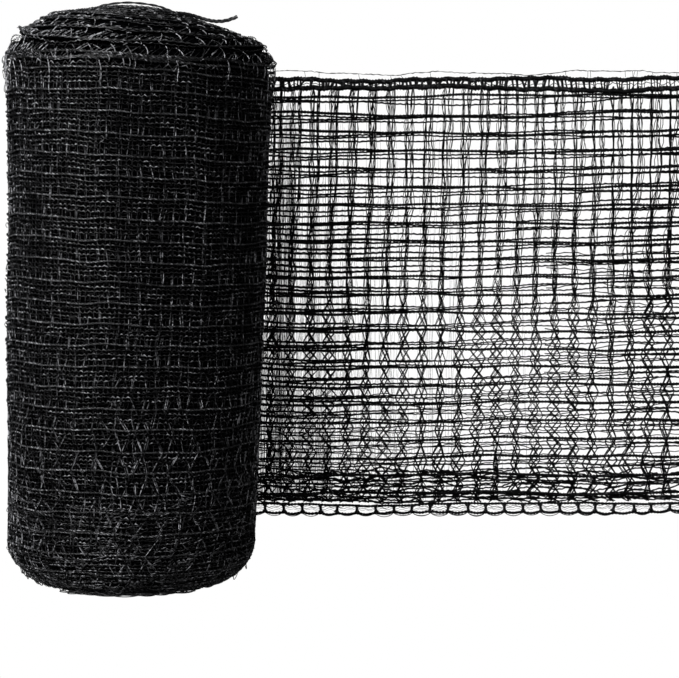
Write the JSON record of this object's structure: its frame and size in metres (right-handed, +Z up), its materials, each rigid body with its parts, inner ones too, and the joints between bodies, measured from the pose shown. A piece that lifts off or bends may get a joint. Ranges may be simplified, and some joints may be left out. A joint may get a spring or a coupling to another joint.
{
  "type": "netting roll",
  "caption": "Roll of black knitted mesh netting that stands on end, folded lengthwise and wound on itself, with its loose end drawn out to one side.",
  "frame": {"origin": "centre of the flat spot that the roll stands on", "axes": "+Z up along the roll, +X along the loose end, +Y towards the back of the roll, where the loose end leaves it"},
  "size_m": [0.6695, 0.2588, 0.5426],
  "materials": {
    "net": "black knitted polyethylene filament with a satin sheen"
  },
  "bodies": {
    "root": {"net_roll": "net", "loose_end": "net", "selvedge_tail": "net"}
  },
  "joints": []
}
